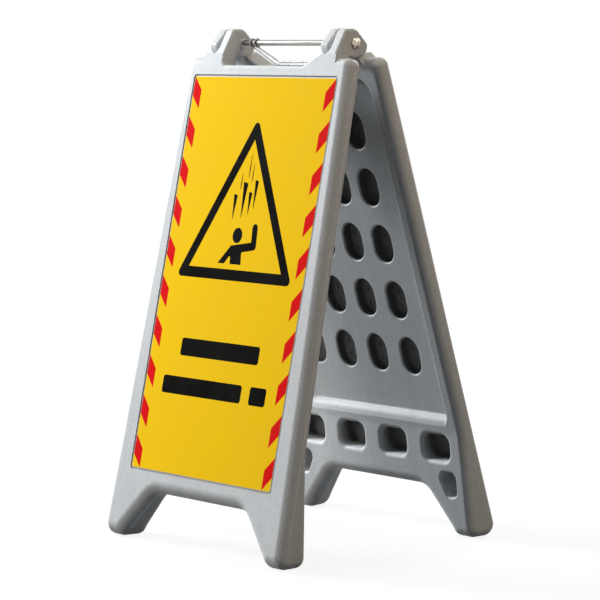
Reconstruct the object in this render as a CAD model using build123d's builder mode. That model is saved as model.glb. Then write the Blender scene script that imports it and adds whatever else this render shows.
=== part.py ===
import os
from math import asin, cos, degrees, radians, sin, tan

from build123d import *

os.makedirs("parts", exist_ok=True)

# Stance of the open stand: X runs along the rod, the front faces -Y, the floor is Z = 0
hinge_height = 996.0  # rod axis above the floor
lean = 13.5  # each panel from upright, degrees

# Panel outline, seen square on; along the panel a drop is measured down from the rod axis,
# a rise up from the front of the soles
top_width = 516.0
foot_flare = 34.0  # each side is this much further out at the soles than at the top
shoulder_drop = 37.0
pad_drop = 30.6  # pads that stop the other panel's ears
notch_drop = 54.0  # floor of the hand notch
notch_corner = 8.0
notch_slope_run = 43.0  # sideways run of its right side; the left one is upright
arch_rise = 105.5
arch_flare = 95.0  # sideways run of the arch's sides
foot_length = 46.0
arch_corner = 52.0
knee_rise = 3.0  # where the arch's sides turn upright
knee_corner = 30.0
floor_margin = 30.0  # legs are made this much too long, then cut at the floor

# Panel depth, measured outwards from the plane of the rod
face_out = 43.0  # outer face
rim_in = 6.0  # inner face of the upper rim
toe_in = -27.0  # inner face at the toes
toe_rise = 24.6
heel_rise = 228.6  # where the inner face starts to lean towards the toes
heel_bend = 110.0
side_round = 15.0  # all round the side faces, soles too
arch_round = 23.0  # all round the arch and the insides of the feet
sole_front_round = 24.0
sole_rear_round = 20.0
shoulder_round = 16.0  # seen square on
notch_round = 6.0

# Hinge ears, in pairs: the inner ear beside the notch, the outer one past a gap
shoulder_run = 41.0  # outer ears to the side faces
ear_width = 26.0
ear_gap = 20.0
ear_front = 27.0
ear_rise = 22.5
ear_top_depth = 25.0
ear_root_drop = 66.0  # foot of the ear, inside the panel
ear_root_corner = 4.0
ear_front_corner = 8.0
ear_back_corner = 18.0
nose_corner = 8.0
ear_round = 6.0  # right flank
ear_edge = 4.5  # left flank
nose_top_reach = 30.5
nose_top_rise = 6.5
nose_reach = 33.0
nose_drop = 8.0
chin_length = 10.0  # flat that lands on the other panel's pad
stop_gap = 0.3
pad_reach = 13.0  # the left pad runs this far under the other panel's outer ear
pad_step_run = 7.0
pad_inset = 14.0  # the right pad starts this far inside the other panel's inner ear
flare_radius = 10.0
flare_back = 12.0

# Sign recess and what lies in it
sign_border = 23.0
sign_top_drop = 74.0
sign_low_rise = 143.6
sign_corner = 8.0
recess_depth = 4.0
plate_gap = 4.0
plate_thickness = 2.2
film_thickness = 0.3
film_margin = 1.0
tape_thickness = 0.8
tape_width = 25.0
tape_count = 4
tape_edge = 12.0

# Inner face: sunk web with blind oval pockets, windows in the bottom rail, toe pockets
wall = 3.5
web_in = 22.5
web_top_drop = 75.0
web_low_rise = 258.6
ledge_run = 20.0  # the web's lower wall slopes this far down to the inner face
ledge_steep_run = 8.5  # its steep part, next to the web
ledge_steep_depth = 12.0
ledge_round = 20.0
rim_width = 37.0
web_top_corner = 40.0
web_low_corner = 12.0
web_mouth_round = 5.0
pocket_columns = 4
pocket_rows = 5
pocket_width = 58.0
pocket_height = 79.0
pocket_top_drop = 186.2  # middle of the top row
pocket_low_rise = 375.6  # middle of the lowest row
pocket_side_gap = 60.2  # from the web's side, in the lowest row
pocket_splay = 0.037  # the columns lean together towards the top
pocket_draft = 6.0
pocket_mouth_round = 4.0
dimple_diameter = 11.0
dimple_spacing = 30.0
dimple_depth = 1.2
window_count = 4
window_width = 80.0
window_height = 53.0
window_side_gap = 44.6
window_rise = 190.6
window_corner = 19.0
window_floor = 33.0
window_mouth_round = 9.0
toe_pocket_rise = 144.0  # its top
toe_pocket_width = 56.0  # along its top
toe_pocket_low_width = 29.0
toe_pocket_height = 50.0
toe_pocket_corner = 14.0
toe_pocket_mouth_round = 5.0
toe_pocket_side_gap = 32.0
toe_pocket_floor = 24.0
drain_diameter = 6.0  # up into the hollow from the middle of the arch
core_margin = 24.0
core_foot_margin = 34.0
core_corner = 6.0

# Rod and what is on it
rod_diameter = 12.0
running_clearance = 0.08
bush_wall = 1.5
bush_lip = 0.5
bush_seat_clearance = 0.02
rod_end_chamfer = 1.0
cap_diameter = 20.0
cap_height = 7.5
cap_rim = 2.0
cap_depth = 5.5
cap_gap = 0.3
spacer_wall = 2.0
spacer_gap = 0.3

# Wire stay: a hairpin whose two legs end in eyes on the rod
wire_diameter = 3.5
eye_clearance = 0.3
stay_eye_inset = 48.0  # from the inner ear
stay_eye_pitch = 15.0
stay_leg_pitch = 6.0
stay_drop = 38.0
stay_slope_run = 70.0  # from the eye to the bend
stay_end_inset = 79.0
stay_bend_radius = 12.0

# For picking edges by their place
same_place = 0.01
edge_margin = 1.0

lean_sin = sin(radians(lean))
lean_cos = cos(radians(lean))
grip_half = top_width / 2 - shoulder_run - 2 * ear_width - ear_gap  # rod centre to the inner ears
ear_inner_far = grip_half + ear_width
ear_outer_near = ear_inner_far + ear_gap
ear_outer_far = ear_outer_near + ear_width
foot_width = top_width + 2 * foot_flare
sole_drop = (hinge_height + face_out * lean_sin) / lean_cos
leg_drop = sole_drop + floor_margin
arch_drop = sole_drop - arch_rise
arch_half_floor = foot_width / 2 - foot_length
arch_half_top = arch_half_floor - arch_flare
arch_slope = arch_flare / (arch_rise - knee_rise)
knee_drop = sole_drop - knee_rise
taper = foot_flare / (sole_drop - shoulder_drop)
heel_drop = sole_drop - heel_rise
toe_slope = (rim_in - toe_in) / (heel_rise - toe_rise)
toe_line = rim_in + toe_slope * heel_drop  # the leaning inner face, carried up to the rod
sole_rear_drop = (hinge_height + toe_line * lean_sin) / (lean_cos + toe_slope * lean_sin)
recess_width = top_width - 2 * sign_border
sign_height = sole_drop - sign_low_rise - sign_top_drop
recess_floor = face_out - recess_depth
pocket_floor = recess_floor - wall
web_low_drop = sole_drop - web_low_rise
pocket_low_drop = sole_drop - pocket_low_rise
pocket_row_pitch = (pocket_low_drop - pocket_top_drop) / (pocket_rows - 1)
window_drop = sole_drop - window_rise
toe_pocket_drop = sole_drop - toe_pocket_rise
rod_radius = rod_diameter / 2
bush_bore = rod_radius + running_clearance
bush_radius = bush_bore + bush_wall
chin_radius = pad_drop - stop_gap
chin_angle = 2 * lean


def half_width(drop):
    return top_width / 2 + taper * (drop - shoulder_drop)


def inner_face(drop):
    return rim_in - toe_slope * max(drop - heel_drop, 0)


def panel_planes(turn):
    """Plane of the panel's outer face through the rod axis, and the plane square to the rod."""
    face = Plane((0, 0, hinge_height), x_dir=(turn, 0, 0), z_dir=(0, -turn * lean_cos, lean_sin))
    side = Plane(face.origin, x_dir=face.z_dir, z_dir=-face.x_dir)
    return face, side


front_face, front_side = panel_planes(1)
back_face, back_side = panel_planes(-1)


def outline_points():
    """Panel outline from the left shoulder, clockwise, with the corner radius of each point."""
    step = -(ear_outer_near + pad_reach)
    slope_top = grip_half + pad_inset
    half_top = top_width / 2
    leg_half = half_width(leg_drop)
    right_floor = slope_top - notch_slope_run
    return [
        ((-half_top, -shoulder_drop), 0),
        ((step - pad_step_run, -shoulder_drop), 0),
        ((step, -pad_drop), 0),
        ((-grip_half, -pad_drop), 0),
        ((-grip_half, -notch_drop), notch_corner),
        ((right_floor, -notch_drop), notch_corner),
        ((slope_top, -pad_drop), 0),
        ((ear_outer_far, -pad_drop), 0),
        ((ear_outer_far, -shoulder_drop), 0),
        ((half_top, -shoulder_drop), 0),
        ((leg_half, -leg_drop), 0),
        ((arch_half_floor, -leg_drop), 0),
        ((arch_half_floor, -knee_drop), knee_corner),
        ((arch_half_top, -arch_drop), arch_corner),
        ((-arch_half_top, -arch_drop), arch_corner),
        ((-arch_half_floor, -knee_drop), knee_corner),
        ((-arch_half_floor, -leg_drop), 0),
        ((-leg_half, -leg_drop), 0),
    ]


def ear_profile(side, near):
    """Side view of a hinge ear: root, sloping front, round nose and the chin that lands on a pad."""
    top_back = ear_rise + ear_top_depth * tan(radians(lean))
    nose_top = (-nose_top_reach, nose_top_rise)
    chin_sin = sin(radians(chin_angle))
    chin_cos = cos(radians(chin_angle))
    chin_foot = (-chin_radius * chin_sin, -chin_radius * chin_cos)
    chin_end = (chin_foot[0] - chin_length * chin_cos, chin_foot[1] + chin_length * chin_sin)
    root_back = rim_in + wall
    with BuildSketch(side.offset(-near)) as profile:
        with BuildLine():
            FilletPolyline(
                (0, -chin_radius),
                (root_back, -chin_radius),
                (root_back, -ear_root_drop),
                (face_out, -ear_root_drop),
                (face_out, -pad_drop),
                (ear_front, ear_rise),
                (ear_front - ear_top_depth, top_back),
                nose_top,
                radius=[ear_root_corner, 0, 0, 0, ear_front_corner, ear_back_corner],
            )
            ThreePointArc(nose_top, (-nose_reach, -nose_drop), chin_end)
            Line(chin_end, chin_foot)
            CenterArc((0, 0), chin_radius, 270 - chin_angle, chin_angle)
        make_face()
        fillet(profile.vertices().sort_by(Axis.X)[:2], nose_corner)
    return profile.sketch


def make_ear(face, side, near):
    """One hinge ear, rounded along its right flank, with a concave foot on its left."""
    foot_top = flare_radius - pad_drop
    with BuildPart() as ear:
        extrude(ear_profile(side, near), amount=-ear_width)
        flanks = ear.faces().filter_by(Axis.X).sort_by(Axis(face.origin, face.x_dir))
        fillet(flanks[-1].edges(), ear_round)
        flanks = ear.faces().filter_by(Axis.X).sort_by(Axis(face.origin, face.x_dir))
        fillet(flanks[0].edges(), ear_edge)
    with BuildPart() as flare:
        with BuildSketch(face.offset(flare_back)):
            with BuildLine():
                CenterArc((near - flare_radius, foot_top), flare_radius, 270, 90)
                Polyline(
                    (near, foot_top),
                    (near + ear_edge, foot_top),
                    (near + ear_edge, -shoulder_drop),
                    (near - flare_radius, -shoulder_drop),
                    (near - flare_radius, -pad_drop),
                )
            make_face()
        extrude(amount=face_out - flare_back)
        extrude(ear_profile(side, near), amount=foot_width, both=True, mode=Mode.INTERSECT)
    return ear.part + flare.part


def web_pocket(face, side, grow):
    """Sunk web of the inner face; grown by one wall it is what the hollow leaves free."""
    top_half = half_width(web_top_drop) - rim_width
    ledge_turn = (web_in - ledge_steep_depth, -web_low_drop - ledge_steep_run)
    flat_slope = (ledge_run - ledge_steep_run) / (ledge_turn[0] - rim_in)
    ledge_end = flat_slope * (ledge_turn[0] - toe_in) - ledge_turn[1]
    low = ledge_end + floor_margin
    low_half = half_width(low) - rim_width

    def on_ledge_side(edge):
        spot = face.to_local_coords(edge.center())
        return -spot.Y > web_low_drop and toe_in + same_place < spot.Z < web_in - same_place

    with BuildPart() as pocket:
        with BuildSketch(face.offset(web_in + grow)):
            with BuildLine():
                FilletPolyline(
                    (-top_half, -web_top_drop),
                    (top_half, -web_top_drop),
                    (low_half, -low),
                    (-low_half, -low),
                    radius=[web_top_corner, web_top_corner, 0, 0],
                    close=True,
                )
            make_face()
            offset(amount=grow)
        extrude(amount=toe_in - web_in - grow)
        with BuildSketch(side):
            with BuildLine():
                FilletPolyline(
                    (toe_in, 0),
                    (web_in, 0),
                    (web_in, -web_low_drop),
                    ledge_turn,
                    (toe_in, -ledge_end),
                    radius=[0, 0, 0, ledge_round, 0],
                    close=True,
                )
            make_face()
            offset(amount=grow)
        extrude(amount=foot_width, both=True, mode=Mode.INTERSECT)
        if not grow:
            fillet(pocket.edges().filter_by(on_ledge_side), web_low_corner)
    return pocket.part


def pocket_sites():
    low_half = half_width(pocket_low_drop) - rim_width - pocket_side_gap
    low_pitch = (2 * low_half - pocket_width) / (pocket_columns - 1)
    sites = []
    for row in range(pocket_rows):
        rise = row * pocket_row_pitch
        pitch = low_pitch - pocket_splay * rise
        for column in range(pocket_columns):
            sites.append(((column - (pocket_columns - 1) / 2) * pitch, rise - pocket_low_drop))
    return sites


def oval_pockets(face, grow):
    with BuildPart() as pockets:
        with BuildSketch(face.offset(web_in)):
            with Locations(*pocket_sites()):
                SlotOverall(pocket_height + 2 * grow, pocket_width + 2 * grow, rotation=90)
        extrude(amount=pocket_floor - web_in, taper=pocket_draft)
    return pockets.part


def pocket_dimples(face):
    with BuildPart() as dimples:
        with BuildSketch(face.offset(pocket_floor)):
            with Locations(*pocket_sites()):
                with GridLocations(0, dimple_spacing, 1, 2):
                    Circle(dimple_diameter / 2)
        extrude(amount=dimple_depth)
    return dimples.part


def window_pockets(face, grow):
    row_half = half_width(window_drop) - window_side_gap
    window_pitch = (2 * row_half - window_width) / (window_count - 1)
    with BuildPart() as windows:
        with BuildSketch(face.offset(window_floor + grow)):
            with Locations((0, -window_drop)):
                with GridLocations(window_pitch, 0, window_count, 1):
                    RectangleRounded(window_width + 2 * grow, window_height + 2 * grow, window_corner + grow)
        extrude(amount=toe_in - window_floor - grow)
    return windows.part


def toe_pockets(face, grow):
    outer = half_width(toe_pocket_drop) - toe_pocket_side_gap
    low = toe_pocket_drop + toe_pocket_height
    with BuildPart() as pockets:
        with BuildSketch(face.offset(toe_pocket_floor + grow)):
            with BuildLine():
                FilletPolyline(
                    (outer - toe_pocket_width, -toe_pocket_drop),
                    (outer, -toe_pocket_drop),
                    (outer, -low),
                    (outer - toe_pocket_low_width, -low),
                    radius=toe_pocket_corner,
                    close=True,
                )
            make_face()
            offset(amount=grow)
            mirror(about=Plane.YZ)
        extrude(amount=2 * toe_in - toe_pocket_floor - grow)
    return pockets.part


def make_core(face, side):
    """The hollow inside the twin walls, one wall away from every pocket."""
    top = notch_drop + core_margin
    foot = sole_drop - core_foot_margin
    arch = arch_drop - core_margin
    leg = arch_half_top + arch_slope * (foot - arch_drop) + core_margin
    with BuildPart() as core:
        with BuildSketch(face.offset(toe_in)):
            with BuildLine():
                FilletPolyline(
                    (-half_width(top) + side_round, -top),
                    (half_width(top) - side_round, -top),
                    (half_width(foot) - side_round, -foot),
                    (leg, -foot),
                    (arch_half_top, -arch),
                    (-arch_half_top, -arch),
                    (-leg, -foot),
                    (-half_width(foot) + side_round, -foot),
                    radius=core_corner,
                    close=True,
                )
            make_face()
        extrude(amount=pocket_floor - toe_in)
        with BuildSketch(side):
            with BuildLine():
                Polyline(
                    (rim_in + wall, 0),
                    (pocket_floor, 0),
                    (pocket_floor, -leg_drop),
                    (inner_face(leg_drop) + wall, -leg_drop),
                    (rim_in + wall, -heel_drop),
                    close=True,
                )
            make_face()
        extrude(amount=foot_width, both=True, mode=Mode.INTERSECT)
        add(web_pocket(face, side, wall), mode=Mode.SUBTRACT)
        add(oval_pockets(face, wall), mode=Mode.SUBTRACT)
        add(window_pockets(face, wall), mode=Mode.SUBTRACT)
        add(toe_pockets(face, wall), mode=Mode.SUBTRACT)
    return core.part


def make_panel(face, side):
    def at(edge):
        return face.to_local_coords(edge.center())

    points = outline_points()
    half_top = top_width / 2
    web_half = half_width(web_top_drop) - rim_width

    def mouth_edges(top, low):
        def on_mouth(edge):
            spot = at(edge)
            rim_reach = half_width(-spot.Y) - side_round - edge_margin
            on_face = abs(spot.Z - inner_face(-spot.Y)) < same_place
            return on_face and top - edge_margin < -spot.Y < low + edge_margin and abs(spot.X) < rim_reach

        return panel.edges().filter_by(on_mouth)

    def on_arch(edge):
        spot = at(edge)
        in_arch = -spot.Y > arch_drop - edge_margin and abs(spot.X) < arch_half_floor + edge_margin
        return in_arch and abs((edge % 0.5).dot(face.z_dir)) < 0.9

    with BuildPart() as panel:
        # Slab, thicker towards the toes and rounded at the soles
        with BuildSketch(face.offset(toe_in - floor_margin)):
            with BuildLine():
                FilletPolyline(*[p for p, _ in points], radius=[r for _, r in points], close=True)
            make_face()
        extrude(amount=face_out - toe_in + floor_margin)
        with BuildSketch(side):
            with BuildLine():
                FilletPolyline(
                    (rim_in, 0),
                    (face_out, 0),
                    (face_out, -sole_drop),
                    (inner_face(sole_rear_drop), -sole_rear_drop),
                    (rim_in, -heel_drop),
                    radius=[0, 0, sole_front_round, sole_rear_round, heel_bend],
                    close=True,
                )
            make_face()
        extrude(amount=foot_width, both=True, mode=Mode.INTERSECT)
        # Soft edges: hand notch, shoulders, then all round the sides and the arch
        notch_floor = panel.edges().filter_by(lambda e: abs(at(e).Y + notch_drop) < same_place)
        fillet(notch_floor.filter_by(Axis.X), notch_round)
        corners = panel.edges().filter_by(lambda e: abs(at(e).Y + shoulder_drop) < same_place)
        fillet(corners.filter_by(lambda e: abs(abs(at(e).X) - half_top) < same_place), shoulder_round)
        sides = panel.faces().sort_by(Axis.X)
        rims = sides[0].edges() + sides[-1].edges()
        fillet(rims.filter_by(lambda e: at(e).Y < -shoulder_drop - shoulder_round - edge_margin), side_round)
        fillet(panel.edges().filter_by(on_arch), arch_round)
        # Hinge ears, rod bores
        add(make_ear(face, side, -ear_inner_far))
        add(make_ear(face, side, ear_outer_near))
        with BuildSketch(side):
            Circle(bush_radius + bush_seat_clearance)
        extrude(amount=foot_width, both=True, mode=Mode.SUBTRACT)
        # Sign recess, inner pockets, hollow, drain
        with BuildSketch(face.offset(face_out)):
            with Locations((0, -sign_top_drop - sign_height / 2)):
                RectangleRounded(recess_width, sign_height, sign_corner)
        extrude(amount=-recess_depth, mode=Mode.SUBTRACT)
        add(web_pocket(face, side, 0), mode=Mode.SUBTRACT)
        fillet(mouth_edges(web_top_drop, web_low_drop + ledge_run), web_mouth_round)
        add(window_pockets(face, 0), mode=Mode.SUBTRACT)
        window_half = window_height / 2
        fillet(mouth_edges(window_drop - window_half, window_drop + window_half), window_mouth_round)
        add(toe_pockets(face, 0), mode=Mode.SUBTRACT)
        fillet(mouth_edges(toe_pocket_drop, toe_pocket_drop + toe_pocket_height), toe_pocket_mouth_round)
        add(oval_pockets(face, 0), mode=Mode.SUBTRACT)
        mouths = panel.edges().filter_by(lambda e: abs(at(e).Z - web_in) < same_place)
        fillet(mouths.filter_by(lambda e: abs(at(e).X) < web_half - edge_margin), pocket_mouth_round)
        add(pocket_dimples(face), mode=Mode.SUBTRACT)
        add(make_core(face, side), mode=Mode.SUBTRACT)
        arch_middle = face.location * Location((0, -arch_drop, (face_out + inner_face(arch_drop)) / 2))
        with BuildSketch(Plane(arch_middle.position, x_dir=face.x_dir, z_dir=face.y_dir)):
            Circle(drain_diameter / 2)
        extrude(amount=2 * core_margin, mode=Mode.SUBTRACT)
    return panel.part


def make_sign(face):
    """Plate, printed film and tape strips of one sign, stacked in the recess."""
    middle = -sign_top_drop - sign_height / 2
    plate_width = recess_width - 2 * plate_gap
    plate_height = sign_height - 2 * plate_gap
    corner = sign_corner - plate_gap
    tape_pitch = (plate_width - tape_width - 2 * tape_edge) / (tape_count - 1)
    plate_in = recess_floor + tape_thickness
    film_in = plate_in + plate_thickness
    with BuildPart() as plate:
        with BuildSketch(face.offset(plate_in)):
            with Locations((0, middle)):
                RectangleRounded(plate_width, plate_height, corner)
        extrude(amount=plate_thickness)
    with BuildPart() as film:
        with BuildSketch(face.offset(film_in)):
            with Locations((0, middle)):
                RectangleRounded(plate_width - 2 * film_margin, plate_height - 2 * film_margin, corner)
        extrude(amount=film_thickness)
    with BuildPart() as tape:
        with BuildSketch(face.offset(recess_floor)):
            with Locations((0, middle)):
                with GridLocations(tape_pitch, 0, tape_count, 1):
                    Rectangle(tape_width, plate_height - 2 * tape_edge)
        extrude(amount=tape_thickness)
    return plate.part, film.part, tape.part


def make_sleeve(near, far, outer_radius):
    """Tube on the rod between two stations along it."""
    with BuildPart() as sleeve:
        with BuildSketch(rod_plane.offset(near)):
            Circle(outer_radius)
            Circle(bush_bore, mode=Mode.SUBTRACT)
        extrude(amount=far - near)
    return sleeve.part


def make_cap(turn):
    """Domed push-on cap for one end of the rod."""
    start = ear_outer_far + bush_lip + cap_gap
    cap_radius = cap_diameter / 2
    shoulder = start + cap_rim
    crown = start + cap_height
    dome = ((crown - shoulder) ** 2 + cap_radius**2) / (2 * (crown - shoulder))
    half = degrees(asin(cap_radius / dome)) / 2
    middle = (turn * (crown - dome + dome * cos(radians(half))), dome * sin(radians(half)))
    with BuildPart() as cap:
        with BuildSketch(hang_plane):
            with BuildLine():
                Polyline(
                    (turn * crown, 0),
                    (turn * (start + cap_depth), 0),
                    (turn * (start + cap_depth), rod_radius),
                    (turn * start, rod_radius),
                    (turn * start, cap_radius),
                    (turn * shoulder, cap_radius),
                )
                ThreePointArc((turn * shoulder, cap_radius), middle, (turn * crown, 0))
            make_face()
        revolve(axis=Axis(rod_plane.origin, rod_plane.z_dir))
    return cap.part


rod_plane = Plane((0, 0, hinge_height), x_dir=(0, 1, 0), z_dir=(1, 0, 0))
hang_plane = Plane((0, 0, hinge_height), x_dir=(1, 0, 0), z_dir=(0, -1, 0))

front_panel = make_panel(front_face, front_side)
back_panel = make_panel(back_face, back_side)
front_sign_plate, front_sign_film, front_sign_tape = make_sign(front_face)
back_sign_plate, back_sign_film, back_sign_tape = make_sign(back_face)

rod_half = ear_outer_far + bush_lip + cap_gap + cap_depth
with BuildPart() as hinge_rod:
    with BuildSketch(rod_plane):
        Circle(rod_radius)
    extrude(amount=rod_half, both=True)
    chamfer(hinge_rod.edges(), rod_end_chamfer)

rod_cap_left = make_cap(-1)
rod_cap_right = make_cap(1)

bush_front_inner = make_sleeve(-ear_inner_far - bush_lip, -grip_half + bush_lip, bush_radius)
bush_front_outer = make_sleeve(ear_outer_near - bush_lip, ear_outer_far + bush_lip, bush_radius)
bush_back_inner = make_sleeve(grip_half - bush_lip, ear_inner_far + bush_lip, bush_radius)
bush_back_outer = make_sleeve(-ear_outer_far - bush_lip, -ear_outer_near + bush_lip, bush_radius)

spacer_near = ear_inner_far + bush_lip + spacer_gap
spacer_far = ear_outer_near - bush_lip - spacer_gap
spacer_left = make_sleeve(-spacer_far, -spacer_near, bush_bore + spacer_wall)
spacer_right = make_sleeve(spacer_near, spacer_far, bush_bore + spacer_wall)

# Hairpin of wire, hanging straight down from its two eyes
wire_radius = wire_diameter / 2
eye_radius = rod_radius + eye_clearance + wire_radius
stay_eye_near = stay_eye_inset - grip_half
eye_far = stay_eye_near - stay_eye_pitch
stay_bend_x = stay_eye_near + stay_slope_run
stay_end_x = grip_half - stay_end_inset
stay_low = stay_drop + stay_leg_pitch
with BuildPart() as wire_stay:
    with BuildLine(hang_plane) as stay_path:
        upper = FilletPolyline(
            (stay_eye_near, -eye_radius),
            (stay_bend_x, -stay_drop),
            (stay_end_x, -stay_drop),
            radius=stay_bend_radius,
        )
        ThreePointArc(
            (stay_end_x, -stay_drop),
            (stay_end_x + stay_leg_pitch / 2, -(stay_drop + stay_low) / 2),
            (stay_end_x, -stay_low),
        )
        FilletPolyline(
            (stay_end_x, -stay_low),
            (stay_bend_x - stay_eye_pitch + stay_leg_pitch, -stay_low),
            (eye_far, -eye_radius),
            radius=stay_bend_radius,
        )
    with BuildSketch(Plane(upper @ 0, z_dir=upper % 0)):
        Circle(wire_radius)
    sweep()
    with Locations((stay_eye_near, 0, hinge_height), (eye_far, 0, hinge_height)):
        Torus(eye_radius, wire_radius, rotation=(0, 90, 0))

parts = {
    "front_panel": front_panel,
    "back_panel": back_panel,
    "front_sign_plate": front_sign_plate,
    "back_sign_plate": back_sign_plate,
    "front_sign_film": front_sign_film,
    "back_sign_film": back_sign_film,
    "front_sign_tape": front_sign_tape,
    "back_sign_tape": back_sign_tape,
    "hinge_rod": hinge_rod.part,
    "rod_cap_left": rod_cap_left,
    "rod_cap_right": rod_cap_right,
    "bush_front_inner": bush_front_inner,
    "bush_front_outer": bush_front_outer,
    "bush_back_inner": bush_back_inner,
    "bush_back_outer": bush_back_outer,
    "spacer_left": spacer_left,
    "spacer_right": spacer_right,
    "wire_stay": wire_stay.part,
}
for name, solid in parts.items():
    solid.label = name
    export_step(solid, f"parts/{name}.step")
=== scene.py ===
import math

import bpy
import bmesh
from mathutils import Matrix, Vector


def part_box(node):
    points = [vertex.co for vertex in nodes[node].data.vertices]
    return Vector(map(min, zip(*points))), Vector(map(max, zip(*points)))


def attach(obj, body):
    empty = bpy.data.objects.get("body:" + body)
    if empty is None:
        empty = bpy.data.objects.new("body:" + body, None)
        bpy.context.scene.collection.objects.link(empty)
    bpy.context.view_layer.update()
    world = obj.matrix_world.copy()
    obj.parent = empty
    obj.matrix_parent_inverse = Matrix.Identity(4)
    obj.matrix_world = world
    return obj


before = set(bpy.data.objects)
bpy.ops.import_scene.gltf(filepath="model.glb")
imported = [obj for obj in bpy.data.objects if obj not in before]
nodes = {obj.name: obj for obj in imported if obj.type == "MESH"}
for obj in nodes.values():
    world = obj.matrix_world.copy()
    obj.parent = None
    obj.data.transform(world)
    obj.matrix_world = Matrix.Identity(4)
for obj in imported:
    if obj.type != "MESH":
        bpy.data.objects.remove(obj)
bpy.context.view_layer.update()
scene = bpy.context.scene
scene.view_settings.view_transform = "Standard"
print("frame loaded,", len(nodes), "nodes")

millimetre = 0.001
stance = {"hinge": 0.996, "lean": math.radians(13.5)}  # height of the rod, lean of each panel
leanSin = math.sin(stance["lean"])
leanCos = math.cos(stance["lean"])

white = (1, 1, 1)
black = (0, 0, 0)
noiseSpan = (0.3, 0.7)  # where most of a noise's values lie
noiseRoughness = 0.6


# shader helpers
def newMaterial(name):
    material = bpy.data.materials.new(name)
    material.use_nodes = True
    tree = material.node_tree
    return material, tree, tree.nodes["Principled BSDF"]


def addNode(tree, kind, inputs=None, **settings):
    node = tree.nodes.new("ShaderNode" + kind)
    for key, value in settings.items():
        setattr(node, key, value)
    for key, value in (inputs or {}).items():
        node.inputs[key].default_value = value
    return node


def objectPlace(tree):
    return addNode(tree, "TexCoord").outputs["Object"]


def noiseOn(tree, place, scale=1, detail=4, stretch=(1, 1, 1), turn=(0, 0, 0)):
    mapping = addNode(tree, "Mapping", {"Scale": stretch, "Rotation": turn})
    noise = addNode(tree, "TexNoise", {"Scale": scale, "Detail": detail, "Roughness": noiseRoughness})
    tree.links.new(place, mapping.inputs["Vector"])
    tree.links.new(mapping.outputs["Vector"], noise.inputs["Vector"])
    return noise.outputs["Fac"]


def rampOn(tree, value, stops, colours):
    ramp = addNode(tree, "ValToRGB")
    elements = ramp.color_ramp.elements
    while len(elements) < len(stops):
        elements.new(0.5)
    for element, stop, colour in zip(elements, stops, colours):
        element.position = stop
        element.color = (*colour, 1)
    tree.links.new(value, ramp.inputs["Fac"])
    return ramp.outputs["Color"]


def mixColours(tree, blend, first, second):
    mix = addNode(tree, "Mix", {"Factor": 1}, data_type="RGBA", blend_type=blend)
    tree.links.new(first, mix.inputs["A"])
    tree.links.new(second, mix.inputs["B"])
    return mix.outputs["Result"]


def mathOn(tree, operation, *values):
    node = addNode(tree, "Math", operation=operation)
    for socket, value in zip(node.inputs, values):
        if isinstance(value, (int, float)):
            socket.default_value = value
        else:
            tree.links.new(value, socket)
    return node.outputs[0]


def stepOn(tree, value, low, high):
    step = addNode(tree, "MapRange", {"From Min": low, "From Max": high}, interpolation_type="SMOOTHSTEP")
    tree.links.new(value, step.inputs["Value"])
    return step.outputs["Result"]


def roughnessOn(tree, shader, noise, smooth, rough):
    low, high = noiseSpan
    spread = addNode(tree, "MapRange", {
        "From Min": low, "From Max": high, "To Min": smooth, "To Max": rough,
    })
    tree.links.new(noise, spread.inputs["Value"])
    tree.links.new(spread.outputs["Result"], shader.inputs["Roughness"])


def bumpOn(tree, shader, height, strength, depth):
    bump = addNode(tree, "Bump", {"Strength": strength, "Distance": depth * millimetre})
    tree.links.new(height, bump.inputs["Height"])
    tree.links.new(bump.outputs["Normal"], shader.inputs["Normal"])


# finishes; every bump depth is in millimetres
panelPlastic = {
    "dark": (0.545, 0.552, 0.560),
    "light": (0.605, 0.610, 0.615),
    "streaks": {"stretch": (34, 34, 2.2)},  # faint flow marks run down the panels
    "mottle": {"scale": 5},
    "mottleDark": (0.93, 0.93, 0.93),
    "specks": {"scale": 380, "detail": 2},
    "speckStops": (0.34, 0.5, 0.66),
    "speckWarm": (0.88, 0.83, 0.785),
    "speckPlain": (0.96, 0.96, 0.96),
    "speckCool": (1.01, 1.065, 1.11),
    "scuffs": {"detail": 3, "stretch": (190, 190, 7), "turn": (0.25, 0.2, 0)},
    "scuffStops": (0.62, 0.76),
    "scuffLight": (0.07, 0.07, 0.07),
    "grain": {"scale": 900, "detail": 2},
    "grainStrength": 0.3,
    "grainDepth": 0.10,
    "roughness": (0.48, 0.62),
    "specular": 0.25,
    # shade that gathers in the holes of the inner face, in metres: the depth from the rod where it starts
    # and where it is full, the middle and half of the depth and of the drop that it fills, its half width
    "hollows": {
        "ovalPockets": {
            "depth": (0.0238, 0.0268), "slab": (0.030, 0.0074), "drop": (0.430, 0.340),
            "half": 0.222, "shade": 0.84,
        },
        "windows": {
            "depth": (0.0050, 0.0270), "slab": (0.020, 0.0174), "drop": (0.844, 0.038),
            "half": 0.262, "shade": 0.76,
        },
    },
}


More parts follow.
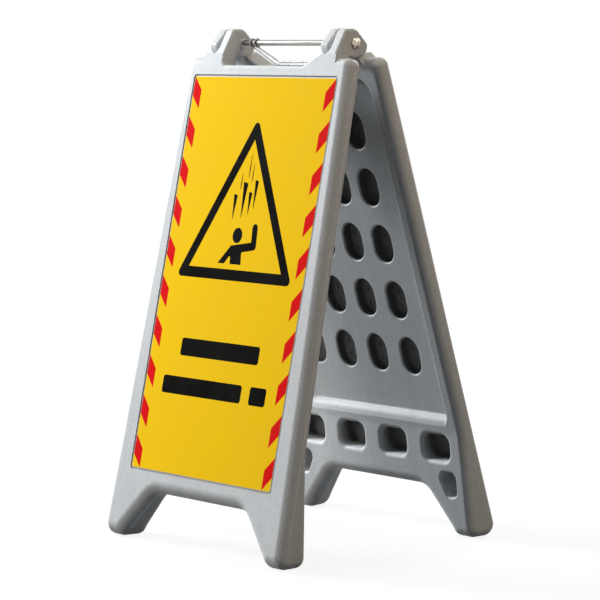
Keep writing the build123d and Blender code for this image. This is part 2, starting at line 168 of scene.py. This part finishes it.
def shadeHollows(tree, place, hollows):
    axes = addNode(tree, "SeparateXYZ")
    tree.links.new(place, axes.inputs[0])
    across, along, height = axes.outputs
    along = mathOn(tree, "ABSOLUTE", along)
    height = mathOn(tree, "SUBTRACT", height, stance["hinge"])
    depth = mathOn(tree, "MULTIPLY_ADD", along, leanCos, mathOn(tree, "MULTIPLY", height, leanSin))
    drop = mathOn(tree, "MULTIPLY_ADD", along, leanSin, mathOn(tree, "MULTIPLY", height, -leanCos))
    total = None
    for look in hollows.values():
        shade = mathOn(tree, "MULTIPLY", stepOn(tree, depth, *look["depth"]), look["shade"])
        for value, bounds in ((depth, look["slab"]), (drop, look["drop"]), (across, (0, look["half"]))):
            shade = mathOn(tree, "MULTIPLY", shade, mathOn(tree, "COMPARE", value, *bounds))
        total = shade if total is None else mathOn(tree, "MAXIMUM", total, shade)
    return mathOn(tree, "SUBTRACT", 1, total)


def makePanelPlastic(look):
    material, tree, shader = newMaterial("panelPlastic")
    place = objectPlace(tree)
    streaks = noiseOn(tree, place, **look["streaks"])
    mottle = noiseOn(tree, place, **look["mottle"])
    specks = noiseOn(tree, place, **look["specks"])
    scuffs = noiseOn(tree, place, **look["scuffs"])
    grain = noiseOn(tree, place, **look["grain"])
    body = rampOn(tree, streaks, noiseSpan, (look["dark"], look["light"]))
    cloudy = rampOn(tree, mottle, noiseSpan, (look["mottleDark"], white))
    speckColours = (look["speckWarm"], look["speckPlain"], look["speckCool"])
    speckled = rampOn(tree, specks, look["speckStops"], speckColours)
    worn = rampOn(tree, scuffs, look["scuffStops"], (black, look["scuffLight"]))
    colour = mixColours(tree, "MULTIPLY", body, cloudy)
    colour = mixColours(tree, "MULTIPLY", colour, speckled)
    colour = mixColours(tree, "ADD", colour, worn)
    colour = mixColours(tree, "MULTIPLY", colour, shadeHollows(tree, place, look["hollows"]))
    tree.links.new(colour, shader.inputs["Base Color"])
    roughnessOn(tree, shader, mottle, *look["roughness"])
    bumpOn(tree, shader, grain, look["grainStrength"], look["grainDepth"])
    shader.inputs["Specular IOR Level"].default_value = look["specular"]
    return material


prints = {
    "colours": {
        "yellowFilm": (0.945, 0.580, 0.009),
        "redPrint": (0.745, 0.007, 0.008),
        "blackPrint": (0.0035, 0.0032, 0.0026),
    },
    "fadeKeeps": 0.97,  # share of the colour left in faded patches
    "fadeAdds": 0.004,
    "patches": {"scale": 14},
    "patchStops": (0.35, 0.65),
    "film": {"scale": 500, "detail": 2},
    "filmStrength": 0.2,
    "filmDepth": 0.02,
    "roughness": (0.62, 0.72),
    "specular": 0.006,
}


def makePrint(name, colour, look):
    material, tree, shader = newMaterial(name)
    place = objectPlace(tree)
    patches = noiseOn(tree, place, **look["patches"])
    film = noiseOn(tree, place, **look["film"])
    faded = tuple(min(1, look["fadeKeeps"] * part + look["fadeAdds"]) for part in colour)
    tree.links.new(rampOn(tree, patches, look["patchStops"], (faded, colour)), shader.inputs["Base Color"])
    roughnessOn(tree, shader, patches, *look["roughness"])
    bumpOn(tree, shader, film, look["filmStrength"], look["filmDepth"])
    shader.inputs["Specular IOR Level"].default_value = look["specular"]
    return material


metalMarks = {"stops": (0.35, 0.6), "strength": 0.3}
metals = {
    "rodSteel": {
        # darker and warmer than bright steel: the base colour is a painted dark reflection; the marks are
        # the steel's own wear
        "colour": (0.43, 0.415, 0.395), "worn": (0.29, 0.275, 0.255), "roughness": (0.18, 0.3),
        "stretch": (8, 700, 700), "depth": 0.02,
    },
    "capChrome": {
        # the brown tint of colour and worn is a painted brown reflection; the chrome itself is near
        # neutral
        "colour": (0.52, 0.46, 0.38), "worn": (0.26, 0.21, 0.16), "roughness": (0.08, 0.16),
        "stretch": (60, 60, 60), "depth": 0.01,
    },
    "bushSteel": {
        "colour": (0.55, 0.55, 0.55), "worn": (0.42, 0.41, 0.40), "roughness": (0.3, 0.45),
        "stretch": (700, 90, 90), "depth": 0.02,
    },
    "wireSteel": {
        "colour": (0.30, 0.30, 0.31), "worn": (0.17, 0.17, 0.17), "roughness": (0.28, 0.4),
        "stretch": (90, 400, 400), "depth": 0.03,
    },
}


def makeMetal(name, look):
    material, tree, shader = newMaterial(name)
    marks = noiseOn(tree, objectPlace(tree), stretch=look["stretch"])
    colour = rampOn(tree, marks, metalMarks["stops"], (look["worn"], look["colour"]))
    tree.links.new(colour, shader.inputs["Base Color"])
    roughnessOn(tree, shader, marks, *look["roughness"])
    bumpOn(tree, shader, marks, metalMarks["strength"], look["depth"])
    shader.inputs["Metallic"].default_value = 1
    return material


smallMoulding = {
    "mottle": {"scale": 60},
    "mottleStops": (0.35, 0.65),
    "grain": {"scale": 1400, "detail": 2},
    "grainStrength": 0.3,
    "grainDepth": 0.05,
}
smallPlastics = {
    "sheetWhite": {"colour": (0.62, 0.62, 0.60), "dull": (0.52, 0.52, 0.50), "roughness": (0.45, 0.6)},
    "foamTape": {"colour": (0.70, 0.69, 0.65), "dull": (0.58, 0.57, 0.53), "roughness": (0.7, 0.85)},
    "spacerGrey": {"colour": (0.05, 0.05, 0.052), "dull": (0.03, 0.03, 0.03), "roughness": (0.4, 0.55)},
    # the parting bead is panel plastic; its pale colour is a painted highlight that makes the seam read as
    # a bright line
    "paintedSeamHighlight": {"colour": (0.90, 0.90, 0.89), "dull": (0.56, 0.56, 0.55), "roughness": (0.35, 0.5)},
}


def makeSmallPlastic(name, look):
    material, tree, shader = newMaterial(name)
    place = objectPlace(tree)
    mottle = noiseOn(tree, place, **smallMoulding["mottle"])
    grain = noiseOn(tree, place, **smallMoulding["grain"])
    colour = rampOn(tree, mottle, smallMoulding["mottleStops"], (look["dull"], look["colour"]))
    tree.links.new(colour, shader.inputs["Base Color"])
    roughnessOn(tree, shader, mottle, *look["roughness"])
    bumpOn(tree, shader, grain, smallMoulding["grainStrength"], smallMoulding["grainDepth"])
    return material


plastic = makePanelPlastic(panelPlastic)
printed = {name: makePrint(name, colour, prints) for name, colour in prints["colours"].items()}
metal = {name: makeMetal(name, look) for name, look in metals.items()}
small = {name: makeSmallPlastic(name, look) for name, look in smallPlastics.items()}

finishes = {
    "front_panel": plastic,
    "back_panel": plastic,
    "front_sign_plate": small["sheetWhite"],
    "back_sign_plate": small["sheetWhite"],
    "front_sign_film": printed["yellowFilm"],
    "back_sign_film": printed["yellowFilm"],
    "front_sign_tape": small["foamTape"],
    "back_sign_tape": small["foamTape"],
    "hinge_rod": metal["rodSteel"],
    "rod_cap_left": metal["capChrome"],
    "rod_cap_right": metal["capChrome"],
    "bush_front_inner": metal["bushSteel"],
    "bush_front_outer": metal["bushSteel"],
    "bush_back_inner": metal["bushSteel"],
    "bush_back_outer": metal["bushSteel"],
    "spacer_left": small["spacerGrey"],
    "spacer_right": small["spacerGrey"],
    "wire_stay": metal["wireSteel"],
}
for name, finish in finishes.items():
    nodes[name].data.materials.clear()
    nodes[name].data.materials.append(finish)
print("finishes on", len(finishes), "nodes")


# mesh helpers
def addObject(name, data):
    holder = bpy.data.objects.new(name, data)
    scene.collection.objects.link(holder)
    return holder


def plainMesh(source, name):
    graph = bpy.context.evaluated_depsgraph_get()
    mesh = bpy.data.meshes.new_from_object(source.evaluated_get(graph))
    mesh.name = name
    bpy.data.objects.remove(source)
    return mesh


def startTree(name, sizes):
    tree = bpy.data.node_groups.new(name, "GeometryNodeTree")
    sockets = tree.interface.new_socket
    sockets("Geometry", in_out="INPUT", socket_type="NodeSocketGeometry")
    keys = {}
    for size, kind in sizes.items():
        keys[size] = sockets(size, in_out="INPUT", socket_type="NodeSocket" + kind).identifier
    sockets("Geometry", in_out="OUTPUT", socket_type="NodeSocketGeometry")
    return tree, keys


def endTree(tree, geometry, material):
    realize = tree.nodes.new("GeometryNodeRealizeInstances")
    paint = tree.nodes.new("GeometryNodeSetMaterial")
    paint.inputs["Material"].default_value = material
    leave = tree.nodes.new("NodeGroupOutput")
    tree.links.new(geometry, realize.inputs["Geometry"])
    tree.links.new(realize.outputs["Geometry"], paint.inputs["Geometry"])
    tree.links.new(paint.outputs["Geometry"], leave.inputs["Geometry"])


def runTree(holder, name, tree, keys, sizes):
    modifier = holder.modifiers.new(name, "NODES")
    modifier.node_group = tree
    for size, value in sizes.items():
        modifier[keys[size]] = value
    return plainMesh(holder, name)


# outlines are drawn in millimetres
arcSteps = 8
circleSteps = 40


def arcCorner(before, corner, after, radius):
    if radius == 0:
        return [corner]
    into = (before - corner).normalized()
    out = (after - corner).normalized()
    half = into.angle(out) / 2
    centre = corner + (into + out).normalized() * radius / math.sin(half)
    start = (corner + into * radius / math.tan(half) - centre).normalized()
    end = (corner + out * radius / math.tan(half) - centre).normalized()
    return [centre + start.slerp(end, step / arcSteps) * radius for step in range(arcSteps + 1)]


def roundedLoop(corners):
    spots = [Vector((x, y)) for x, y, radius in corners]
    loop = []
    for index, (x, y, radius) in enumerate(corners):
        loop += arcCorner(spots[index - 1], spots[index], spots[(index + 1) % len(spots)], radius)
    return [point * millimetre for point in loop]


def circleLoop(x, y, radius):
    turns = [2 * math.pi * step / circleSteps for step in range(circleSteps)]
    return [
        Vector((x + radius * math.cos(turn), y + radius * math.sin(turn))) * millimetre
        for turn in turns
    ]


# signs: each film's outer face, as a matrix with x to the right, y up and z outwards
def filmFace(node, outward):
    mesh = nodes[node].data
    skin = max((face for face in mesh.polygons if face.normal.y * outward > 0), key=lambda face: face.area)
    right = Vector((-outward, 0, 0))
    up = skin.normal.cross(right)
    low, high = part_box(node)
    heights = [vertex.co.dot(up) for vertex in mesh.vertices]
    middle = (low + high) / 2
    middle += skin.normal * (skin.center - middle).dot(skin.normal)
    axes = Matrix((right, up, skin.normal)).transposed().to_4x4()
    axes.translation = middle
    return axes, high.x - low.x, max(heights) - min(heights)


frontFace, filmWidth, filmHeight = filmFace("front_sign_film", -1)
backFace = filmFace("back_sign_film", 1)[0]
inkDepth = 0.1 * millimetre
inkWeld = inkDepth / 10  # points closer than this are one


def inkMesh(name, loops):
    curve = bpy.data.curves.new(name, "CURVE")
    curve.dimensions = "2D"
    curve.fill_mode = "BOTH"
    curve.extrude = inkDepth / 2
    for loop in loops:
        spline = curve.splines.new("POLY")
        spline.points.add(len(loop) - 1)
        spline.use_cyclic_u = True
        for point, spot in zip(spline.points, loop):
            point.co = (spot.x, spot.y, 0, 1)
    mesh = plainMesh(addObject(name, curve), name)
    clean = bmesh.new()
    clean.from_mesh(mesh)
    bmesh.ops.remove_doubles(clean, verts=clean.verts, dist=inkWeld)
    bmesh.ops.recalc_face_normals(clean, faces=clean.faces)
    clean.to_mesh(mesh)
    clean.free()
    return mesh


def layOnSigns(mesh, name, material):
    mesh.materials.clear()
    mesh.materials.append(material)
    for side, face in (("front", frontFace), ("back", backFace)):
        copy = mesh.copy()
        copy.transform(face)
        piece = addObject(side + name, copy)
        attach(piece, side)
    bpy.data.meshes.remove(mesh)


# all ink is placed in millimetres from the middle of the sign, y upwards
halfWide = filmWidth / 2 / millimetre
halfHigh = filmHeight / 2 / millimetre

stripes = {
    "count": 10,
    "pitch": 82.3,
    "band": 27.0,
    "tall": 39.0,
    "topGap": 0.3,
}


def stripeTree(material):
    tree, keys = startTree("stripeColumn", {"Count": "Int", "Pitch": "Vector"})
    entry = tree.nodes.new("NodeGroupInput")
    line = tree.nodes.new("GeometryNodeMeshLine")
    line.mode = "OFFSET"
    repeat = tree.nodes.new("GeometryNodeInstanceOnPoints")
    tree.links.new(entry.outputs["Count"], line.inputs["Count"])
    tree.links.new(entry.outputs["Pitch"], line.inputs["Offset"])
    tree.links.new(line.outputs["Mesh"], repeat.inputs["Points"])
    tree.links.new(entry.outputs["Geometry"], repeat.inputs["Instance"])
    endTree(tree, repeat.outputs["Instances"], material)
    return tree, keys


def makeStripes(look):
    top = halfHigh - look["topGap"]
    inner = halfWide - look["band"]
    pair = []
    for side in (-1, 1):
        corners = [
            (side * halfWide, top, 0),
            (side * inner, top - look["band"], 0),
            (side * inner, top - look["band"] - look["tall"], 0),
            (side * halfWide, top - look["tall"], 0),
        ]
        pair.append(roundedLoop(corners))
    holder = addObject("stripes", inkMesh("stripes", pair))
    tree, keys = stripeTree(printed["redPrint"])
    sizes = {"Count": look["count"], "Pitch": (0, -look["pitch"] * millimetre, 0)}
    layOnSigns(runTree(holder, "stripes", tree, keys, sizes), "Stripes", printed["redPrint"])


triangle = {
    "innerSide": 303.0,
    "band": 22.0,
    "corner": 9.5,
    "across": 4.0,  # from the middle of the film
    "baseDrop": 410.0,  # from the top of the film to the foot of the triangle
}
triangleBase = halfHigh - triangle["baseDrop"]
triangleFloor = triangleBase + triangle["band"]  # the opening's lower edge


def makeTriangle(look):
    inner = look["innerSide"] / 2
    outer = inner + look["band"] * math.sqrt(3)
    across = look["across"]
    outerLoop = [
        (across - outer, triangleBase, look["corner"]),
        (across + outer, triangleBase, look["corner"]),
        (across, triangleBase + outer * math.sqrt(3), look["corner"]),
    ]
    innerLoop = [
        (across - inner, triangleFloor, 0),
        (across, triangleFloor + inner * math.sqrt(3), 0),
        (across + inner, triangleFloor, 0),
    ]
    mesh = inkMesh("triangle", [roundedLoop(outerLoop), roundedLoop(innerLoop)])
    layOnSigns(mesh, "Triangle", printed["blackPrint"])


figure = {
    "footGap": 11.0,  # between the figure and the triangle's lower band
    "headPlace": (-7, 58),
    "headRadius": 15.5,
    # outline from the left hand, anticlockwise, with the radius of each corner
    "body": [
        (-58, 0, 1), (-37, 0, 1), (-20, 19, 3), (-18, 0, 1), (18, 0, 1), (14, 25, 3),
        (59, 32, 8), (54, 84, 8.6), (37, 83, 8.6), (41, 46, 2), (-23, 37, 8),
    ],
}
figureFoot = triangleFloor + figure["footGap"]


def makeFigure(look):
    across = triangle["across"]
    body = [(x + across, y + figureFoot, radius) for x, y, radius in look["body"]]
    headX, headY = look["headPlace"]
    loops = [roundedLoop(body), circleLoop(headX + across, headY + figureFoot, look["headRadius"])]
    layOnSigns(inkMesh("figure", loops), "Figure", printed["blackPrint"])


ice = {
    # middle, height of the top's left corner above the figure's feet, length, width of the top
    "shards": [(-33, 141, 51, 12), (-6, 166, 72, 15), (14, 147, 46, 11), (29, 171, 58, 11)],
    "corner": 0.6,
    "tip": 1.2,
    "topFall": 2.5,  # from the left to the right corner of the top
    # middle, top, length of the strokes that show the fall
    "strokes": [(-21, 184, 34), (0, 221, 47), (12, 202, 36)],
    "strokeWidth": 3.2,
    "strokeTip": 1.2,
    "strokeWaist": 2 / 3,  # share of the length down to the widest place
}


def makeIce(look):
    loops = []
    for offset, top, length, width in look["shards"]:
        middle = triangle["across"] + offset
        high, low = figureFoot + top, figureFoot + top - length
        half, tip = width / 2, look["tip"] / 2
        loops.append(roundedLoop([
            (middle - half, high, look["corner"]),
            (middle - tip, low, 0),
            (middle + tip, low, 0),
            (middle + half, high - look["topFall"], look["corner"]),
        ]))
    for offset, top, length in look["strokes"]:
        middle = triangle["across"] + offset
        high, low = figureFoot + top, figureFoot + top - length
        half, tip = look["strokeWidth"] / 2, look["strokeTip"] / 2
        waist = high - length * look["strokeWaist"]
        loops.append(roundedLoop([
            (middle - tip, high, 0), (middle - half, waist, 0), (middle - tip, low, 0),
            (middle + tip, low, 0), (middle + half, waist, 0), (middle + tip, high, 0),
        ]))
    layOnSigns(inkMesh("ice", loops), "Ice", printed["blackPrint"])


plainBars = {
    # two plain rows: height of the row, then middle and width of each bar
    "rows": [(-148.0, [(0, 258)]), (-227.0, [(-40, 262), (144, 52)])],
    "tall": 36.0,
    "corner": 6.0,
}


def makePlainBars(look):
    loops = []
    corner = look["corner"]
    for level, bars in look["rows"]:
        low, high = level - look["tall"] / 2, level + look["tall"] / 2
        for middle, width in bars:
            left, right = middle - width / 2, middle + width / 2
            loops.append(roundedLoop([
                (left, low, corner), (right, low, corner), (right, high, corner), (left, high, corner),
            ]))
    layOnSigns(inkMesh("plainBars", loops), "PlainBars", printed["blackPrint"])


makeTriangle(triangle)
makeStripes(stripes)
makeFigure(figure)
makeIce(ice)
makePlainBars(plainBars)
print("ink laid on both signs")


partingBead = {
    # all in millimetres; a place is across from the middle and down from the rod
    "radius": 0.8,  # half of it stands proud
    "sides": 8,
    "depth": 22.0,  # outwards from the rod
    "sideTop": (258.85, 62.0),
    "sideLow": (290.8, 1000.0),
    "archFoot": (226.0, 1010.0),
    "archKnee": (246.0, 1031.6),
    "archCorner": (151.0, 929.1),
    "archRound": 52.0,
}


def beadTree(material):
    tree, keys = startTree("partingBead", {"Radius": "Float", "Sides": "Int"})
    entry = tree.nodes.new("NodeGroupInput")
    ring = tree.nodes.new("GeometryNodeCurvePrimitiveCircle")
    sweep = tree.nodes.new("GeometryNodeCurveToMesh")
    sweep.inputs["Fill Caps"].default_value = True
    tree.links.new(entry.outputs["Sides"], ring.inputs["Resolution"])
    tree.links.new(entry.outputs["Radius"], ring.inputs["Radius"])
    tree.links.new(entry.outputs["Geometry"], sweep.inputs["Curve"])
    tree.links.new(ring.outputs["Curve"], sweep.inputs["Profile Curve"])
    endTree(tree, sweep.outputs["Mesh"], material)
    return tree, keys


def beadPaths(look):
    foot, knee, corner = (Vector(look[part]) for part in ("archFoot", "archKnee", "archCorner"))
    mirrored = Vector((-1, 1))
    archSide = [foot] + arcCorner(knee, corner, corner * mirrored, look["archRound"])
    arch = archSide + [spot * mirrored for spot in reversed(archSide)]
    side = [Vector(look["sideTop"]), Vector(look["sideLow"])]
    return [arch, side, [spot * mirrored for spot in side]]


def makePartingBead(look):
    # the bead wears the pale finish, a painted highlight along the seam
    tree, keys = beadTree(small["paintedSeamHighlight"])
    sizes = {"Radius": look["radius"] * millimetre, "Sides": look["sides"]}
    for panel, turn in (("front", 1), ("back", -1)):
        name = panel + "PartingBead"
        curve = bpy.data.curves.new(name, "CURVE")
        curve.dimensions = "3D"
        for path in beadPaths(look):
            spline = curve.splines.new("POLY")
            spline.points.add(len(path) - 1)
            for point, (across, drop) in zip(spline.points, path):
                along = turn * (-drop * leanSin - look["depth"] * leanCos)
                height = look["depth"] * leanSin - drop * leanCos
                spot = Vector((turn * across, along, height)) * millimetre
                point.co = (spot.x, spot.y, spot.z + stance["hinge"], 1)
        mesh = runTree(addObject(name, curve), name, tree, keys, sizes)
        piece = addObject(name, mesh)
        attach(piece, panel)


makePartingBead(partingBead)
print("parting beads run round both panels")


# stage, light and camera, in metres
floorLook = {
    "half": 14.0,
    "colour": (0.09, 0.093, 0.098),
    "roughness": 0.9,
    "glow": (0.89, 1.0),  # as seen near the object and far from it
    "reach": (0.8, 2.4),  # how far out the one turns into the other
}


def rayShown(tree):
    path = addNode(tree, "LightPath")
    shown = path.outputs["Is Camera Ray"]
    for kind in ("Is Glossy Ray", "Is Transmission Ray"):
        shown = mathOn(tree, "MAXIMUM", shown, path.outputs[kind])
    return shown


def makeFloor(look):
    half = look["half"]
    mesh = bpy.data.meshes.new("floor")
    corners = [(-half, -half, 0), (half, -half, 0), (half, half, 0), (-half, half, 0)]
    mesh.from_pydata(corners, [], [(0, 1, 2, 3)])
    material, tree, shader = newMaterial("paleFloor")
    shader.inputs["Base Color"].default_value = (*look["colour"], 1)
    shader.inputs["Roughness"].default_value = look["roughness"]
    shader.inputs["Specular IOR Level"].default_value = 0
    shader.inputs["Emission Color"].default_value = (*white, 1)
    away = addNode(tree, "VectorMath", operation="LENGTH")
    tree.links.new(objectPlace(tree), away.inputs[0])
    near, far = look["glow"]
    fade = stepOn(tree, away.outputs["Value"], *look["reach"])
    glow = mathOn(tree, "MULTIPLY_ADD", fade, far - near, near)
    tree.links.new(mathOn(tree, "MULTIPLY", rayShown(tree), glow), shader.inputs["Emission Strength"])
    mesh.materials.append(material)
    addObject("floor", mesh)


skyLook = {"shown": white, "light": (0.80, 0.92, 1.0), "strength": 0.12}


def makeSky(look):
    world = bpy.data.worlds.new("paleSky")
    scene.world = world
    world.use_nodes = True
    tree = world.node_tree
    plain = tree.nodes["Background"]
    plain.inputs["Color"].default_value = (*look["light"], 1)
    plain.inputs["Strength"].default_value = look["strength"]
    seen = addNode(tree, "Background", {"Color": (*look["shown"], 1), "Strength": 1})
    choose = addNode(tree, "MixShader")
    tree.links.new(rayShown(tree), choose.inputs["Fac"])
    tree.links.new(plain.outputs[0], choose.inputs[1])
    tree.links.new(seen.outputs[0], choose.inputs[2])
    tree.links.new(choose.outputs[0], tree.nodes["World Output"].inputs["Surface"])


lamps = {
    "keyLamp": {
        "place": (-3.2, -5.6, 3.6), "aim": (0, 0, 0.5), "size": 2.6,
        "watts": 220, "colour": (1, 0.97, 0.92),
    },
    "leftLamp": {
        "place": (-3.6, -0.95, 2.2), "aim": (0, 0.1, 0.4), "size": 1.0,
        "watts": 265, "colour": (0.90, 0.955, 1),
    },
    "topLamp": {
        "place": (0.4, -0.3, 3.4), "aim": (0, 0, 0.4), "size": 1.6,
        "watts": 13, "colour": white,
    },
    "rearLamp": {
        "place": (-1.6, 3.4, 2.4), "aim": (0, 0, 0.5), "size": 2.0,
        "watts": 145, "colour": white,
    },
    "sideLamp": {
        "place": (2.6, 1.2, 3.2), "aim": (0, 0, 0.6), "size": 1.6,
        "watts": 44, "colour": (1, 0.78, 0.52),
    },
}


def makeLamps(looks):
    for name, look in looks.items():
        lamp = bpy.data.lights.new(name, "AREA")
        lamp.size = look["size"]
        lamp.energy = look["watts"]
        lamp.color = look["colour"]
        holder = addObject(name, lamp)
        place = Vector(look["place"])
        holder.location = place
        holder.rotation_euler = (Vector(look["aim"]) - place).to_track_quat("-Z", "Y").to_euler()


camera = {
    "place": (4.806, -3.735, 1.112),
    "yaw": 52.02,  # degrees round from straight in front
    "pitch": 5.94,  # degrees downwards
    "roll": -1.40,
    "lens": 182.1,  # millimetres, as is the sensor
    "sensor": 36.0,
    "farthest": 100,
}


def makeCamera(look):
    yaw, pitch, roll = (math.radians(look[part]) for part in ("yaw", "pitch", "roll"))
    ahead = Vector((-math.sin(yaw) * math.cos(pitch), math.cos(yaw) * math.cos(pitch), -math.sin(pitch)))
    right = Vector((math.cos(yaw), math.sin(yaw), 0))
    up = right.cross(ahead)
    rightRolled = math.cos(roll) * right + math.sin(roll) * up
    upRolled = math.cos(roll) * up - math.sin(roll) * right
    turned = Matrix((rightRolled, upRolled, -ahead)).transposed().to_4x4()
    lens = bpy.data.cameras.new("photoCamera")
    lens.lens = look["lens"]
    lens.sensor_width = look["sensor"]
    lens.clip_end = look["farthest"]
    holder = addObject("photoCamera", lens)
    holder.matrix_world = Matrix.Translation(look["place"]) @ turned
    scene.camera = holder


makeFloor(floorLook)
makeSky(skyLook)
makeLamps(lamps)
makeCamera(camera)
print("stage, lamps and camera set")
